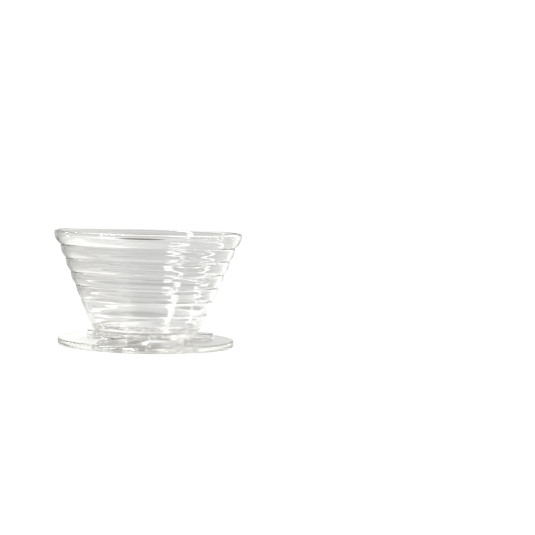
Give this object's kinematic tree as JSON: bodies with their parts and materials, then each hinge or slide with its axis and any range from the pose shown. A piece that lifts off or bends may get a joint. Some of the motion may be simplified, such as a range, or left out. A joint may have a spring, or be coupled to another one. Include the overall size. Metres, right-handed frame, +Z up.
{
  "type": "pour over dripper",
  "caption": "Clear glass flat-bottomed pour-over coffee dripper: a stepped conical bowl held by round-ended pads above a flat disc with a round opening.",
  "frame": {"origin": "centre of the disc's underside, which is the centre of the bottom of the bounding box", "axes": "+Z up the bowl's axis, -Y towards the front pad, +X to the right seen from the front"},
  "size_m": [0.116, 0.116, 0.0704],
  "materials": {
    "bowl_glass": "clear, fire-polished, with soft mould ripples",
    "disc_glass": "clear, flat, with rounded edges",
    "pad_glass": "clear, fire-polished"
  },
  "bodies": {
    "root": {"ribbed_bowl": "bowl_glass", "base_disc": "disc_glass", "spacer_pad_front": "pad_glass", "spacer_pad_right": "pad_glass", "spacer_pad_left": "pad_glass"}
  },
  "joints": []
}
